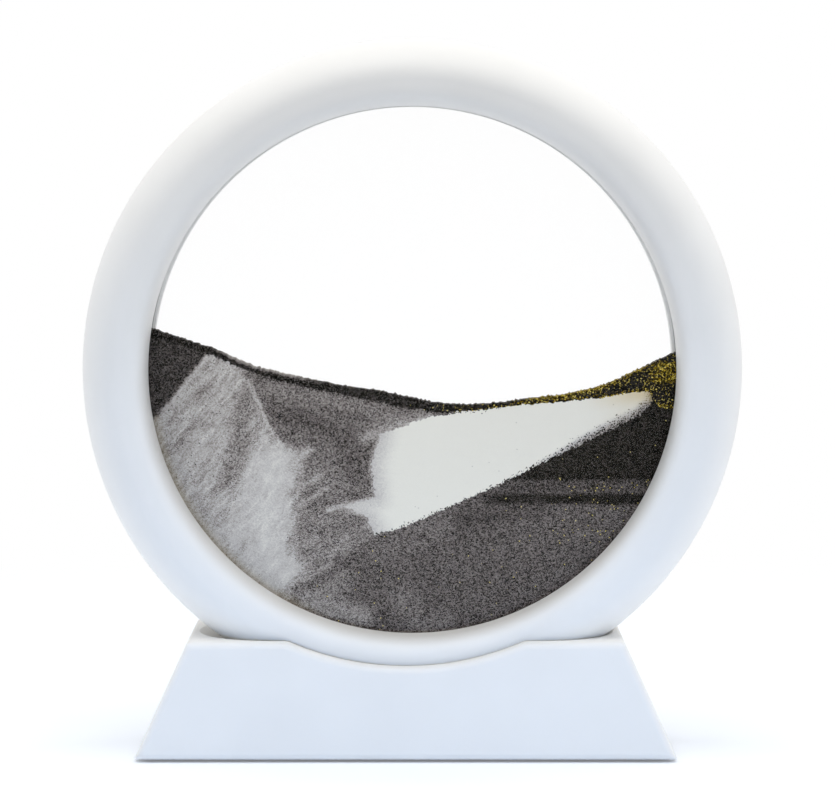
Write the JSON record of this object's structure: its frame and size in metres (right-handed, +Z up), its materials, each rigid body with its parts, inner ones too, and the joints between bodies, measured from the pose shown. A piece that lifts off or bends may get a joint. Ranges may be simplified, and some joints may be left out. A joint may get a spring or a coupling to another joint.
{
  "type": "moving sand art frame",
  "caption": "Round white plastic frame ring with a sealed glass cell of water and layered black, white and gold sand, standing loose in a trapezoid base so that it can be turned over.",
  "frame": {"origin": "on the table, straight below the centre of the frame ring", "axes": "+Z up, +Y from the front of the frame to its back along the ring's axis, +X to the right seen from the front"},
  "size_m": [0.165, 0.044, 0.178],
  "materials": {
    "white_abs": "satin",
    "silicone": "matte",
    "glass": "polished",
    "water": "clear",
    "black_sand": "granular",
    "grey_sand": "granular",
    "pale_sand": "granular",
    "white_sand": "granular",
    "gold_sand": "glittering",
    "screw_steel": "zinc plated",
    "foot_rubber": "matte"
  },
  "bodies": {
    "base": {"base_shell": "white_abs", "base_cover": "white_abs", "cover_screw_1": "screw_steel", "cover_screw_2": "screw_steel", "cover_screw_3": "screw_steel", "cover_screw_4": "screw_steel", "foot_pad_1": "foot_rubber", "foot_pad_2": "foot_rubber", "foot_pad_3": "foot_rubber", "foot_pad_4": "foot_rubber"},
    "water": {"water_film": "water"},
    "frame": {"front_frame_ring": "white_abs", "rear_frame_ring": "white_abs", "front_gasket": "silicone", "rear_gasket": "silicone", "front_glass": "glass", "rear_glass": "glass", "front_seal": "silicone", "rear_seal": "silicone", "spacer_ring": "white_abs", "filler_plug": "silicone"},
    "sand": {"water_fill": "water", "black_sand_crust": "black_sand", "gold_sand_drift": "gold_sand", "black_sand_bank": "black_sand", "white_sand_slope": "pale_sand", "grey_sand_mix": "grey_sand", "white_sand_wedge": "white_sand", "black_sand_bed": "black_sand"}
  },
  "joints": [
    {"name": "frame_lift", "type": "slide", "parent": "base", "child": "water", "axis": [0, 0, 1], "range_m": [0, 0.06]},
    {"name": "frame_turn", "type": "hinge", "parent": "water", "child": "frame", "pos_m": [0, 0, 0.0957], "axis": [0, 1, 0], "continuous": true},
    {"name": "sand_flow", "type": "hinge", "parent": "frame", "child": "sand", "pos_m": [0, 0, 0.0957], "axis": [0, 1, 0], "continuous": true}
  ]
}
